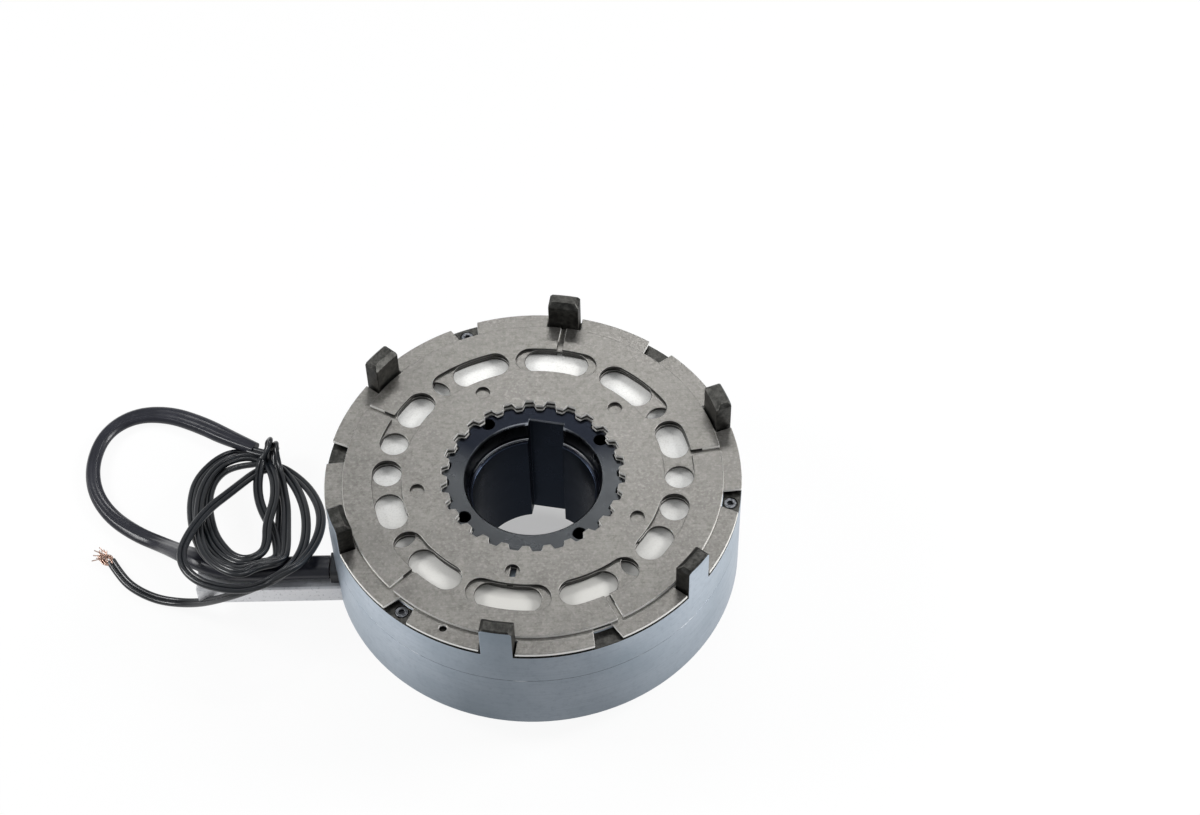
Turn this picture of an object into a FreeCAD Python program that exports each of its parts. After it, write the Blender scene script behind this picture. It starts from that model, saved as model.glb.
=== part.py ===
# Electromagnetic clutch brake unit: a magnet body on a bearing-mounted toothed hub, with slotted
# friction discs stacked inside a ring of guide fingers, a torque arm and a wound-up lead.
# Millimetres. The origin is on the bore axis, level with the hub's lower end; +Z points up.
import FreeCAD, Part

import math
import os

from FreeCAD import Vector

# Sizes

# magnet body
BODY_D = 185.0
BODY_BOTTOM = 12.0
BODY_HEIGHT = 54.0
BODY_EDGE = 1.2
POLE_BORE_CLEARANCE = 2.5
GROOVE_IN_D = 113.0
GROOVE_OUT_D = 147.0
GROOVE_DEPTH = 23.5
RING_HEIGHT = 18.5
RING_WALL = 7.8
RING_FIT = 0.05

# fingers
FINGER_COUNT = 6
FINGER_ANGLE = 20.5
FINGER_WIDTH = 14.0
FINGER_RISE = 19.0
FINGER_RELIEF = 0.6
FINGER_CHAMFER = 2.2
FINGER_CORNER = 1.6
FINGER_EDGE = 0.8

# ring screws
SCREW_COUNT = 3
SCREW_ANGLE = 110.5
SCREW_INSET = 4.5
SCREW_D = 3.0
SCREW_LENGTH = 25.0
SCREW_HEAD_D = 5.5
SCREW_HEAD_H = 3.0
SCREW_SOCKET = 2.5
SCREW_SOCKET_DEPTH = 1.6
SCREW_CLEARANCE = 0.25

# coil
BOBBIN_WALL = 1.4
BOBBIN_HEIGHT = 18.3
BOBBIN_CLEARANCE = 0.4
WINDING_INSET = 1.0
POTTING_SINK = 0.6

# bearing
BEARING_IN_D = 70.0
BEARING_SECTION = 15.0
BEARING_WIDTH = 16.0
BEARING_BOTTOM = 22.5
BALL_D = 9.5
BALL_COUNT = 16
BALL_PLAY = 0.1
RACE_GROOVE_R = 5.0
RACE_SHOULDER = 2.9
CAGE_WALL = 2.2
CAGE_HEIGHT = 12.4
POCKET_CLEARANCE = 0.2
SHIELD_T = 0.6
SHIELD_SEAT = 1.15
SHIELD_INSET = 0.5
SHIELD_GAP = 0.35
BORE_RELIEF = 1.0

# retaining rings
BODY_RING_T = 3.0
BODY_RING_WIDTH = 5.0
BODY_RING_SEAT = 1.75
HUB_RING_T = 2.5
HUB_RING_WIDTH = 4.6
HUB_RING_SEAT = 1.5
RING_PLAY = 0.15
RING_OPENING = 16.0
RING_EYE_D = 2.5
RING_EYE_WALL = 1.2
RING_EYE_OFFSET = 0.65
BODY_RING_ANGLE = 250.0
HUB_RING_ANGLE = 70.0

# hub
HUB_TOP = 67.6
HUB_BORE_D = 55.0
HUB_RECESS_D = 60.0
HUB_RECESS_DEPTH = 9.6
HUB_STEP_D = 57.6
HUB_STEP_DEPTH = 0.9
HUB_COLLAR = 2.0
HUB_CHAMFER = 0.9
KEY_WIDTH = 16.0
KEY_DEPTH = 4.3
KEY_ANGLE = 79.0
HUB_HOLE_COUNT = 4
HUB_HOLE_D = 6.0
HUB_HOLE_DEPTH = 14.0
HUB_HOLE_R = 36.4
HUB_HOLE_ANGLE = 34.0

# toothing
TOOTH_COUNT = 26
PITCH_R = 39.0
HUB_ADDENDUM = 1.5
HUB_DEDENDUM = 1.5
DISC_ADDENDUM = 0.75
DISC_DEDENDUM = 2.0
DISC_GAP_WIDTH = 5.5
FLANK_ANGLE = 22.0
FLANK_PLAY = 0.25
HUB_TOOTH_ANGLE = 9.4

# discs
DISC_T = 1.5
INNER_DISC_PLAY = 0.3
INNER_SLOTS = 10
INNER_SLOT_ANGLE = 8.6
INNER_SLOT_INSET = 19.6
INNER_SLOT_WIDTH = 13.0
INNER_SLOT_BRIDGE = 3.4
INNER_HOLES = 5
INNER_HOLE_ANGLE = 44.3
INNER_HOLE_R = 51.6
INNER_HOLE_D = 6.3
INNER_SLITS = 5
INNER_SLIT_ANGLE = 8.3
OUTER_HOLE_CLEARANCE = 2.4
OUTER_SLOTS = 12
OUTER_SLOT_INSET = 27.6
OUTER_SLOT_WIDTH = 12.7
OUTER_SLOT_BRIDGE = 4.7
OUTER_SLITS = 6
SLIT_WIDTH = 2.5
NOTCH_SIDE_PLAY = 0.8
NOTCH_FLOOR_PLAY = 0.4
VEE_ANGLE = 50.5
VEE_COUNT = 6
VEE_DEPTH = 16.8
VEE_ROUND = 2.4
VEE_HALF_ANGLE = 15.4
PUNCH_D = 3.5
PUNCH_INSET = 5.5
PUNCH_ANGLE = 244.1

# torque arm
ARM_WIDTH = 17.0
ARM_HEIGHT = 11.0
ARM_OVERHANG = 61.5
ARM_Y = -18.5
ARM_SEAT = 4.0
ARM_FIT = 0.05
ARM_EDGE = 0.8
ARM_SCREW_D = 5.0
ARM_SCREW_HEAD_D = 9.6
ARM_SCREW_LENGTH = 16.0
ARM_SCREW_PLACES = (6.5, 17.5)
ARM_SCREW_SOCKET = 3.0

# lead
LEAD_Y = -18.0
GROMMET_WIDTH = 12.8
GROMMET_HEIGHT = 7.2
GROMMET_DEPTH = 11.0
GROMMET_PROUD = 0.9
GROMMET_ROUND = 2.0
GROMMET_FIT = 0.1
LEAD_SLOT_DEPTH = 12.5
LEAD_DUCT_D = 6.0
LEAD_DUCT_INSET = 5.0
RUN_SHARE = 0.45
SLEEVE_D = 7.0
CABLE_D = 3.6
HANK_CENTRE = (-39.0, 14.0, 23.4)
HANK_END_R = 26.6
HANK_SIDE = 43.0
HANK_SECTION_D = 11.6
HANK_TILT = 20.0
STRAND_LENGTH = 9.0
STRAND_ROOT_D = 3.0
STRAND_SPREAD = 3.4

# the lead's x values count from the body's rim
SLEEVE_POINTS = (
    (-0.9, LEAD_Y, 26.7),
    (-15.5, -18.4, 26.6),
    (-31.5, -20.0, 26.8),
    (-48.5, -18.6, 27.2),
    (-63.5, -10.5, 25.6),
    (-74.0, -0.5, 16.0),
    (-84.0, 8.0, 6.2),
    (-98.0, 15.2, 3.8),
    (-112.0, 26.0, 3.7),
    (-122.0, 41.5, 3.7),
    (-125.5, 59.0, 3.7),
    (-121.7, 77.0, 3.7),
    (-109.0, 88.0, 3.8),
    (-91.5, 89.2, 3.9),
    (-74.0, 81.8, 4.2),
    (-59.5, 72.0, 5.2),
    (-47.0, 63.0, 7.6),
)

TAIL_POINTS = (
    (-25.5, -33.0, 39.5),
    (-37.0, -38.5, 34.5),
    (-48.5, -38.0, 25.0),
    (-59.5, -33.5, 13.5),
    (-71.5, -26.0, 4.8),
    (-84.0, -20.2, 2.1),
    (-95.5, -12.0, 2.0),
    (-103.0, -2.6, 2.0),
    (-107.5, 4.2, 2.0),
)

# Derived sizes

BODY_R = BODY_D / 2
BODY_TOP = BODY_BOTTOM + BODY_HEIGHT
SEAM_Z = BODY_TOP - RING_HEIGHT
RING_IN_R = BODY_R - RING_WALL
FINGER_TOP = BODY_TOP + FINGER_RISE
FINGER_IN_R = RING_IN_R + FINGER_RELIEF
GROOVE_FLOOR = BODY_TOP - GROOVE_DEPTH
HUB_TIP_R = PITCH_R + HUB_ADDENDUM
HUB_ROOT_R = PITCH_R - HUB_DEDENDUM
DISC_TIP_R = PITCH_R - DISC_ADDENDUM
DISC_ROOT_R = PITCH_R + DISC_DEDENDUM
POLE_BORE_R = HUB_TIP_R + POLE_BORE_CLEARANCE
INNER_DISC_R = RING_IN_R - INNER_DISC_PLAY
OUTER_HOLE_R = HUB_TIP_R + OUTER_HOLE_CLEARANCE
VEE_FLOOR_R = BODY_R - VEE_DEPTH
INNER_SLOT_R = INNER_DISC_R - INNER_SLOT_INSET
OUTER_SLOT_R = BODY_R - OUTER_SLOT_INSET
INNER_SLOT_LENGTH = 2 * math.pi * INNER_SLOT_R / INNER_SLOTS - INNER_SLOT_BRIDGE
OUTER_SLOT_LENGTH = 2 * math.pi * OUTER_SLOT_R / OUTER_SLOTS - OUTER_SLOT_BRIDGE
BEARING_OUT_D = BEARING_IN_D + 2 * BEARING_SECTION
BEARING_TOP = BEARING_BOTTOM + BEARING_WIDTH
BEARING_MID = BEARING_BOTTOM + BEARING_WIDTH / 2
BEARING_PITCH_R = (BEARING_IN_D + BEARING_OUT_D) / 4
LOWER_DISC_Z = BODY_TOP
OUTER_DISC_Z = LOWER_DISC_Z + DISC_T
UPPER_DISC_Z = OUTER_DISC_Z + DISC_T
ARM_TOP = BODY_BOTTOM + ARM_HEIGHT
ARM_REACH = BODY_R + ARM_OVERHANG
ARM_INNER = BEARING_OUT_D / 2 + ARM_SEAT
GROMMET_X = -math.sqrt(BODY_R ** 2 - (ARM_Y + ARM_WIDTH / 2) ** 2) - GROMMET_PROUD
CUT = 1.0

os.makedirs("parts", exist_ok=True)


# Helpers

def save(name, shape):
    if not shape.isValid():
        shape = shape.removeSplitter()
    shape.exportStep("parts/" + name + ".step")
    print("%-22s solids %2d  volume %10.1f  valid %s"
          % (name, len(shape.Solids), shape.Volume, shape.isValid()))


def polar(radius, degrees, z=0.0):
    a = math.radians(degrees)
    return Vector(radius * math.cos(a), radius * math.sin(a), z)


def cylinder(radius, z0, z1, x=0.0, y=0.0):
    return Part.makeCylinder(radius, z1 - z0, Vector(x, y, z0))


def tube(outer, inner, z0, z1):
    return cylinder(outer, z0, z1).cut(cylinder(inner, z0 - CUT, z1 + CUT))


def box(x0, x1, y0, y1, z0, z1):
    return Part.makeBox(x1 - x0, y1 - y0, z1 - z0, Vector(x0, y0, z0))


def turned(profile):
    points = [Vector(r, 0, z) for r, z in profile]
    face = Part.Face(Part.makePolygon(points + points[:1]))
    return face.revolve(Vector(0, 0, 0), Vector(0, 0, 1), 360)


def prism(points, z0, z1):
    corners = [Vector(x, y, z0) for x, y in points]
    face = Part.Face(Part.makePolygon(corners + corners[:1]))
    return face.extrude(Vector(0, 0, z1 - z0))


def hexagon(across_flats, x, y, z0, z1):
    corner = across_flats / math.sqrt(3)
    angles = [math.radians(60 * k) for k in range(6)]
    return prism([(x + corner * math.cos(a), y + corner * math.sin(a)) for a in angles], z0, z1)


def around(shape, degrees):
    copy = shape.copy()
    copy.rotate(Vector(0, 0, 0), Vector(0, 0, 1), degrees)
    return copy


def pattern(shape, count, first):
    return [around(shape, first + 360.0 * k / count) for k in range(count)]


def arc_slot(radius, width, length, z0, z1):
    # curved slot with round ends, centred on +X
    half = math.degrees((length - width) / 2 / radius)
    inner, outer = radius - width / 2, radius + width / 2
    edges = [Part.Arc(polar(outer, -half, z0), polar(outer, 0, z0), polar(outer, half, z0)).toShape()]
    middle = polar(radius, half, z0)
    tip = middle + polar(width / 2, half + 90)
    edges.append(Part.Arc(polar(outer, half, z0), tip, polar(inner, half, z0)).toShape())
    edges.append(Part.Arc(polar(inner, half, z0), polar(inner, 0, z0), polar(inner, -half, z0)).toShape())
    middle = polar(radius, -half, z0)
    tip = middle + polar(width / 2, -half - 90)
    edges.append(Part.Arc(polar(inner, -half, z0), tip, polar(outer, -half, z0)).toShape())
    return Part.Face(Part.Wire(edges)).extrude(Vector(0, 0, z1 - z0))


def vee_notch(z0, z1):
    # V-shaped notch with a round floor, open past the rim, centred on +X
    a = math.radians(VEE_HALF_ANGLE)
    centre = VEE_FLOOR_R + VEE_ROUND
    touch = Vector(centre - VEE_ROUND * math.sin(a), VEE_ROUND * math.cos(a), z0)
    mouth_x = BODY_R + CUT
    mouth = Vector(mouth_x, touch.y + (mouth_x - touch.x) * math.tan(a), z0)
    low_touch = Vector(touch.x, -touch.y, z0)
    low_mouth = Vector(mouth.x, -mouth.y, z0)
    edges = [
        Part.Arc(touch, Vector(VEE_FLOOR_R, 0, z0), low_touch).toShape(),
        Part.LineSegment(low_touch, low_mouth).toShape(),
        Part.LineSegment(low_mouth, mouth).toShape(),
        Part.LineSegment(mouth, touch).toShape(),
    ]
    return Part.Face(Part.Wire(edges)).extrude(Vector(0, 0, z1 - z0))


def toothed_outline(low_r, high_r, low_width, high_width, first):
    # closed outline of teeth that stand between two radii; widths are those of the teeth
    points = []
    for k in range(TOOTH_COUNT):
        angle = first + 360.0 * k / TOOTH_COUNT
        low = math.degrees(math.asin(low_width / 2 / low_r))
        high = math.degrees(math.asin(high_width / 2 / high_r))
        for radius, turn in ((low_r, -low), (high_r, -high), (high_r, high), (low_r, low)):
            corner = polar(radius, angle + turn)
            points.append((corner.x, corner.y))
    return points


def from_rim(point):
    x, y, z = point
    return Vector(x - BODY_R, y, z)


def route(points, name):
    # straight runs joined by tangent arcs, each as large as its two runs allow
    corners = [from_rim(p) for p in points]
    edges = []
    here = corners[0]
    tightest = 1e9
    for before, at, after in zip(corners, corners[1:], corners[2:]):
        back, ahead = (before - at), (after - at)
        run = min(back.Length, ahead.Length)
        back.normalize()
        ahead.normalize()
        turn = math.pi - math.acos(max(-1.0, min(1.0, back.dot(ahead))))
        setback = RUN_SHARE * run
        radius = setback / math.tan(turn / 2)
        tightest = min(tightest, radius)
        start, end = at + back * setback, at + ahead * setback
        bisector = back + ahead
        bisector.normalize()
        middle = at + bisector * (radius / math.cos(turn / 2) - radius)
        edges.append(Part.LineSegment(here, start).toShape())
        edges.append(Part.Arc(start, middle, end).toShape())
        print("   %s turn %5.1f degrees, radius %6.1f" % (name, math.degrees(turn), radius))
        here = end
    edges.append(Part.LineSegment(here, corners[-1]).toShape())
    wire = Part.Wire(edges)
    print("   %s length %.1f, tightest radius %.1f" % (name, wire.Length, tightest))
    return wire


def cord(points, diameter, name):
    path = route(points, name)
    start = from_rim(points[0])
    along = from_rim(points[1]) - start
    section = Part.Wire(Part.makeCircle(diameter / 2, start, along))
    solid = path.makePipeShell([section], True, False)
    if solid.Volume < 0:
        solid.reverse()
    print("   %s volume / (section x length) %.4f"
          % (name, solid.Volume / (math.pi * diameter ** 2 / 4 * path.Length)))
    return solid


def retaining_ring(inner, outer, thickness, z0, opening_angle, eyes_outside):
    # open spring ring with two eyes beside its opening
    ring = tube(outer, inner, z0, z0 + thickness)
    eye_r = RING_EYE_D / 2 + RING_EYE_WALL
    centre = outer + RING_EYE_OFFSET if eyes_outside else inner - RING_EYE_OFFSET
    swing = math.degrees((RING_OPENING / 2 + eye_r) / centre)
    for side in (-1, 1):
        place = polar(centre, side * swing)
        ring = ring.fuse(cylinder(eye_r, z0, z0 + thickness, place.x, place.y))
    ring = ring.cut(box(0, BODY_D, -RING_OPENING / 2, RING_OPENING / 2, z0 - CUT, z0 + thickness + CUT))
    for side in (-1, 1):
        place = polar(centre, side * swing)
        ring = ring.cut(cylinder(RING_EYE_D / 2, z0 - CUT, z0 + thickness + CUT, place.x, place.y))
    return around(ring.removeSplitter(), opening_angle)


# Magnet body

bearing_r = BEARING_OUT_D / 2
body = turned((
    (POLE_BORE_R, BEARING_TOP + BORE_RELIEF),
    (POLE_BORE_R, BODY_TOP),
    (GROOVE_IN_D / 2, BODY_TOP),
    (GROOVE_IN_D / 2, GROOVE_FLOOR),
    (GROOVE_OUT_D / 2, GROOVE_FLOOR),
    (GROOVE_OUT_D / 2, BODY_TOP),
    (RING_IN_R - RING_FIT, BODY_TOP),
    (RING_IN_R - RING_FIT, SEAM_Z),
    (BODY_R, SEAM_Z),
    (BODY_R, BODY_BOTTOM + BODY_EDGE),
    (BODY_R - BODY_EDGE, BODY_BOTTOM),
    (bearing_r + BODY_EDGE, BODY_BOTTOM),
    (bearing_r, BODY_BOTTOM + BODY_EDGE),
    (bearing_r, BEARING_BOTTOM - BODY_RING_T - RING_PLAY),
    (bearing_r + BODY_RING_SEAT, BEARING_BOTTOM - BODY_RING_T - RING_PLAY),
    (bearing_r + BODY_RING_SEAT, BEARING_BOTTOM),
    (bearing_r, BEARING_BOTTOM),
    (bearing_r, BEARING_TOP),
    (bearing_r - RACE_SHOULDER, BEARING_TOP),
    (bearing_r - RACE_SHOULDER, BEARING_TOP + BORE_RELIEF),
))

arm_y0, arm_y1 = ARM_Y - ARM_WIDTH / 2, ARM_Y + ARM_WIDTH / 2
body = body.cut(box(-BODY_D, -ARM_INNER + ARM_FIT, arm_y0 - ARM_FIT, arm_y1 + ARM_FIT,
                    BODY_BOTTOM - CUT, ARM_TOP))

lead_slot_end = BODY_R - LEAD_SLOT_DEPTH
duct_half = GROMMET_WIDTH / 2 + GROMMET_FIT
duct_top = ARM_TOP + GROMMET_HEIGHT + GROMMET_FIT
body = body.cut(box(-BODY_D, -lead_slot_end, LEAD_Y - duct_half, LEAD_Y + duct_half,
                    ARM_TOP - CUT, duct_top))
duct_start = Vector(-lead_slot_end - CUT, LEAD_Y, ARM_TOP + GROMMET_HEIGHT / 2)
duct_end = Vector(LEAD_DUCT_INSET - GROOVE_OUT_D / 2, LEAD_Y, GROOVE_FLOOR + CUT)
duct_way = duct_end - duct_start
body = body.cut(Part.makeCylinder(LEAD_DUCT_D / 2, duct_way.Length, duct_start, duct_way))

screw_r = BODY_R - SCREW_INSET
screw_top = BODY_TOP
head_seat = screw_top - SCREW_HEAD_H
screw_tip = head_seat - SCREW_LENGTH
tapped = cylinder(SCREW_D / 2, screw_tip, SEAM_Z + CUT, screw_r)
for hole in pattern(tapped, SCREW_COUNT, SCREW_ANGLE):
    body = body.cut(hole)

arm_screw_x = [-ARM_INNER - place for place in ARM_SCREW_PLACES]
arm_screw_tip = BODY_BOTTOM + ARM_SCREW_LENGTH
for x in arm_screw_x:
    body = body.cut(cylinder(ARM_SCREW_D / 2, ARM_TOP - CUT, arm_screw_tip, x, ARM_Y))
save("magnet_body", body)

# Finger ring

ring = tube(BODY_R, RING_IN_R, SEAM_Z, BODY_TOP)
finger_crown = turned((
    (FINGER_IN_R, SEAM_Z),
    (BODY_R, SEAM_Z),
    (BODY_R, FINGER_TOP - FINGER_EDGE),
    (BODY_R - FINGER_EDGE, FINGER_TOP),
    (FINGER_IN_R + FINGER_CHAMFER, FINGER_TOP),
    (FINGER_IN_R, FINGER_TOP - FINGER_CHAMFER),
))
half = FINGER_WIDTH / 2
finger_front = Part.makePolygon([
    Vector(0, -half, SEAM_Z),
    Vector(0, half, SEAM_Z),
    Vector(0, half, FINGER_TOP - FINGER_CORNER),
    Vector(0, half - FINGER_CORNER, FINGER_TOP),
    Vector(0, -half + FINGER_CORNER, FINGER_TOP),
    Vector(0, -half, FINGER_TOP - FINGER_CORNER),
    Vector(0, -half, SEAM_Z),
])
finger_bar = Part.Face(finger_front).extrude(Vector(BODY_D, 0, 0))
fingers = finger_crown.common(Part.makeCompound(pattern(finger_bar, FINGER_COUNT, FINGER_ANGLE)))
ring = ring.fuse(fingers.Solids).removeSplitter()
through = cylinder(SCREW_D / 2 + SCREW_CLEARANCE, SEAM_Z - CUT, BODY_TOP + CUT, screw_r)
sink = cylinder(SCREW_HEAD_D / 2 + SCREW_CLEARANCE, head_seat, BODY_TOP + CUT, screw_r)
for hole in pattern(through.fuse(sink), SCREW_COUNT, SCREW_ANGLE):
    ring = ring.cut(hole)
save("finger_ring", ring)

# Ring screws

socket = hexagon(SCREW_SOCKET, screw_r, 0, screw_top - SCREW_SOCKET_DEPTH, screw_top + CUT)
screw = cylinder(SCREW_HEAD_D / 2, head_seat, screw_top, screw_r)
screw = screw.fuse(cylinder(SCREW_D / 2, screw_tip, head_seat, screw_r)).cut(socket)
save("ring_screws", Part.makeCompound(pattern(screw, SCREW_COUNT, SCREW_ANGLE)))

# Coil

bobbin_in = GROOVE_IN_D / 2 + BOBBIN_CLEARANCE
bobbin_out = GROOVE_OUT_D / 2 - BOBBIN_CLEARANCE
bobbin_top = GROOVE_FLOOR + BOBBIN_HEIGHT
bobbin = turned((
    (bobbin_in, GROOVE_FLOOR),
    (bobbin_out, GROOVE_FLOOR),
    (bobbin_out, GROOVE_FLOOR + BOBBIN_WALL),
    (bobbin_in + BOBBIN_WALL, GROOVE_FLOOR + BOBBIN_WALL),
    (bobbin_in + BOBBIN_WALL, bobbin_top - BOBBIN_WALL),
    (bobbin_out, bobbin_top - BOBBIN_WALL),
    (bobbin_out, bobbin_top),
    (bobbin_in, bobbin_top),
))
save("coil_bobbin", bobbin)
save("coil_winding", tube(bobbin_out - WINDING_INSET, bobbin_in + BOBBIN_WALL,
                          GROOVE_FLOOR + BOBBIN_WALL, bobbin_top - BOBBIN_WALL))
save("coil_potting", tube(GROOVE_OUT_D / 2 - RING_FIT, GROOVE_IN_D / 2 + RING_FIT,
                          bobbin_top, BODY_TOP - POTTING_SINK))

# Bearing

inner_bottom_r = BEARING_PITCH_R - BALL_D / 2 - BALL_PLAY
outer_bottom_r = BEARING_PITCH_R + BALL_D / 2 + BALL_PLAY
inner_shoulder_r = BEARING_PITCH_R - RACE_SHOULDER
outer_shoulder_r = BEARING_PITCH_R + RACE_SHOULDER
inner_race = tube(inner_shoulder_r, BEARING_IN_D / 2, BEARING_BOTTOM, BEARING_TOP)
inner_race = inner_race.cut(Part.makeTorus(inner_bottom_r + RACE_GROOVE_R, RACE_GROOVE_R,
                                           Vector(0, 0, BEARING_MID)))
save("bearing_inner_race", inner_race)

outer_race = tube(BEARING_OUT_D / 2, outer_shoulder_r, BEARING_BOTTOM, BEARING_TOP)
outer_race = outer_race.cut(Part.makeTorus(outer_bottom_r - RACE_GROOVE_R, RACE_GROOVE_R,
                                           Vector(0, 0, BEARING_MID)))
seat_r = outer_shoulder_r + SHIELD_SEAT
seat_depth = SHIELD_INSET + SHIELD_T
outer_race = outer_race.cut(cylinder(seat_r, BEARING_TOP - seat_depth, BEARING_TOP + CUT))
outer_race = outer_race.cut(cylinder(seat_r, BEARING_BOTTOM - CUT, BEARING_BOTTOM + seat_depth))
save("bearing_outer_race", outer_race)

shield = (seat_r - RING_FIT, inner_shoulder_r + SHIELD_GAP)
save("bearing_shield_upper", tube(*shield, BEARING_TOP - seat_depth, BEARING_TOP - SHIELD_INSET))
save("bearing_shield_lower", tube(*shield, BEARING_BOTTOM + SHIELD_INSET, BEARING_BOTTOM + seat_depth))

balls = pattern(Part.makeSphere(BALL_D / 2, Vector(BEARING_PITCH_R, 0, BEARING_MID)), BALL_COUNT, 0)
save("bearing_balls", Part.makeCompound(balls))

cage = tube(BEARING_PITCH_R + CAGE_WALL / 2, BEARING_PITCH_R - CAGE_WALL / 2,
            BEARING_MID - CAGE_HEIGHT / 2, BEARING_MID + CAGE_HEIGHT / 2)
pocket = Part.makeCylinder(BALL_D / 2 + POCKET_CLEARANCE, BEARING_PITCH_R + CAGE_WALL,
                           Vector(0, 0, BEARING_MID), Vector(1, 0, 0))
cage = cage.cut(Part.makeCompound(pattern(pocket, BALL_COUNT, 0)))
save("bearing_cage", cage)

# Retaining rings

body_ring_out = BEARING_OUT_D / 2 + BODY_RING_SEAT - RING_PLAY
save("body_retaining_ring", retaining_ring(body_ring_out - BODY_RING_WIDTH, body_ring_out, BODY_RING_T,
                                           BEARING_BOTTOM - BODY_RING_T, BODY_RING_ANGLE, False))
hub_ring_in = BEARING_IN_D / 2 - HUB_RING_SEAT + RING_PLAY
save("hub_retaining_ring", retaining_ring(hub_ring_in, hub_ring_in + HUB_RING_WIDTH, HUB_RING_T,
                                          BEARING_BOTTOM - HUB_RING_T, HUB_RING_ANGLE, True))

# Hub

spread = 2 * math.tan(math.radians(FLANK_ANGLE))
hub_tooth_width = DISC_GAP_WIDTH - 2 * FLANK_PLAY
hub_outline = toothed_outline(HUB_ROOT_R, HUB_TIP_R,
                              hub_tooth_width + (PITCH_R - HUB_ROOT_R) * spread,
                              hub_tooth_width - (HUB_TIP_R - PITCH_R) * spread, HUB_TOOTH_ANGLE)
hub = prism(hub_outline, BEARING_TOP + HUB_COLLAR, HUB_TOP)
tooth_trim = turned((
    (0, BEARING_TOP),
    (HUB_TIP_R + CUT, BEARING_TOP),
    (HUB_TIP_R + CUT, HUB_TOP - HUB_CHAMFER - CUT),
    (HUB_TIP_R - HUB_CHAMFER, HUB_TOP),
    (0, HUB_TOP),
))
hub = hub.common(tooth_trim)
hub = hub.fuse(cylinder(HUB_ROOT_R, BEARING_TOP, BEARING_TOP + HUB_COLLAR + CUT))
sleeve_r = BEARING_IN_D / 2
groove_low = BEARING_BOTTOM - HUB_RING_T - RING_PLAY
hub_sleeve = turned((
    (0, 0),
    (sleeve_r - HUB_CHAMFER, 0),
    (sleeve_r, HUB_CHAMFER),
    (sleeve_r, groove_low),
    (sleeve_r - HUB_RING_SEAT, groove_low),
    (sleeve_r - HUB_RING_SEAT, BEARING_BOTTOM),
    (sleeve_r, BEARING_BOTTOM),
    (sleeve_r, BEARING_TOP + CUT),
    (0, BEARING_TOP + CUT),
))
hub = hub.fuse(hub_sleeve)
bore_r = HUB_BORE_D / 2
recess_r = HUB_RECESS_D / 2
recess_z = HUB_TOP - HUB_RECESS_DEPTH
step_r = HUB_STEP_D / 2
step_z = recess_z - HUB_STEP_DEPTH
bore = turned((
    (0, -CUT),
    (bore_r, -CUT),
    (bore_r, step_z - (step_r - bore_r) / 2),
    (step_r, step_z),
    (step_r, recess_z),
    (recess_r, recess_z),
    (recess_r, HUB_TOP - HUB_CHAMFER),
    (recess_r + HUB_CHAMFER, HUB_TOP),
    (recess_r + HUB_CHAMFER, HUB_TOP + CUT),
    (0, HUB_TOP + CUT),
))
hub = hub.cut(bore)
key_slot = box(0, bore_r + KEY_DEPTH, -KEY_WIDTH / 2, KEY_WIDTH / 2, -CUT, HUB_TOP + CUT)
hub = hub.cut(around(key_slot, KEY_ANGLE))
hub_hole = cylinder(HUB_HOLE_D / 2, HUB_TOP - HUB_HOLE_DEPTH, HUB_TOP + CUT, HUB_HOLE_R)
for hole in pattern(hub_hole, HUB_HOLE_COUNT, HUB_HOLE_ANGLE):
    hub = hub.cut(hole)
save("hub", hub.removeSplitter())

# Friction discs

disc_pitch = 2 * math.pi / TOOTH_COUNT
gap_at_tip = DISC_GAP_WIDTH + (PITCH_R - DISC_TIP_R) * spread
gap_at_root = DISC_GAP_WIDTH - (DISC_ROOT_R - PITCH_R) * spread
disc_opening = toothed_outline(DISC_TIP_R, DISC_ROOT_R, gap_at_tip, gap_at_root, HUB_TOOTH_ANGLE)


def inner_disc(z):
    low, high = z - CUT, z + DISC_T + CUT
    disc = cylinder(INNER_DISC_R, z, z + DISC_T)
    cuts = [prism(disc_opening, low, high)]
    cuts += pattern(arc_slot(INNER_SLOT_R, INNER_SLOT_WIDTH, INNER_SLOT_LENGTH, low, high),
                    INNER_SLOTS, INNER_SLOT_ANGLE)
    cuts += pattern(cylinder(INNER_HOLE_D / 2, low, high, INNER_HOLE_R), INNER_HOLES, INNER_HOLE_ANGLE)
    slit = box(INNER_SLOT_R, INNER_DISC_R + CUT, -SLIT_WIDTH / 2, SLIT_WIDTH / 2, low, high)
    cuts += pattern(slit, INNER_SLITS, INNER_SLIT_ANGLE)
    return disc.cut(Part.makeCompound(cuts))


save("inner_disc_lower", inner_disc(LOWER_DISC_Z))
save("inner_disc_upper", inner_disc(UPPER_DISC_Z))

low, high = OUTER_DISC_Z - CUT, OUTER_DISC_Z + DISC_T + CUT
outer_disc = tube(BODY_R, OUTER_HOLE_R, OUTER_DISC_Z, OUTER_DISC_Z + DISC_T)
slot_angle = FINGER_ANGLE
cuts = pattern(arc_slot(OUTER_SLOT_R, OUTER_SLOT_WIDTH, OUTER_SLOT_LENGTH, low, high),
               OUTER_SLOTS, slot_angle)
slit = box(OUTER_HOLE_R - CUT, OUTER_SLOT_R, -SLIT_WIDTH / 2, SLIT_WIDTH / 2, low, high)
cuts += pattern(slit, OUTER_SLITS, slot_angle)
notch_half = FINGER_WIDTH / 2 + NOTCH_SIDE_PLAY
notch = box(FINGER_IN_R - NOTCH_FLOOR_PLAY, BODY_D, -notch_half, notch_half, low, high)
cuts += pattern(notch, FINGER_COUNT, FINGER_ANGLE)
cuts += pattern(vee_notch(low, high), VEE_COUNT, VEE_ANGLE)
punch = polar(BODY_R - PUNCH_INSET, PUNCH_ANGLE)
cuts.append(cylinder(PUNCH_D / 2, low, high, punch.x, punch.y))
save("outer_disc", outer_disc.cut(Part.makeCompound(cuts)))

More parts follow.
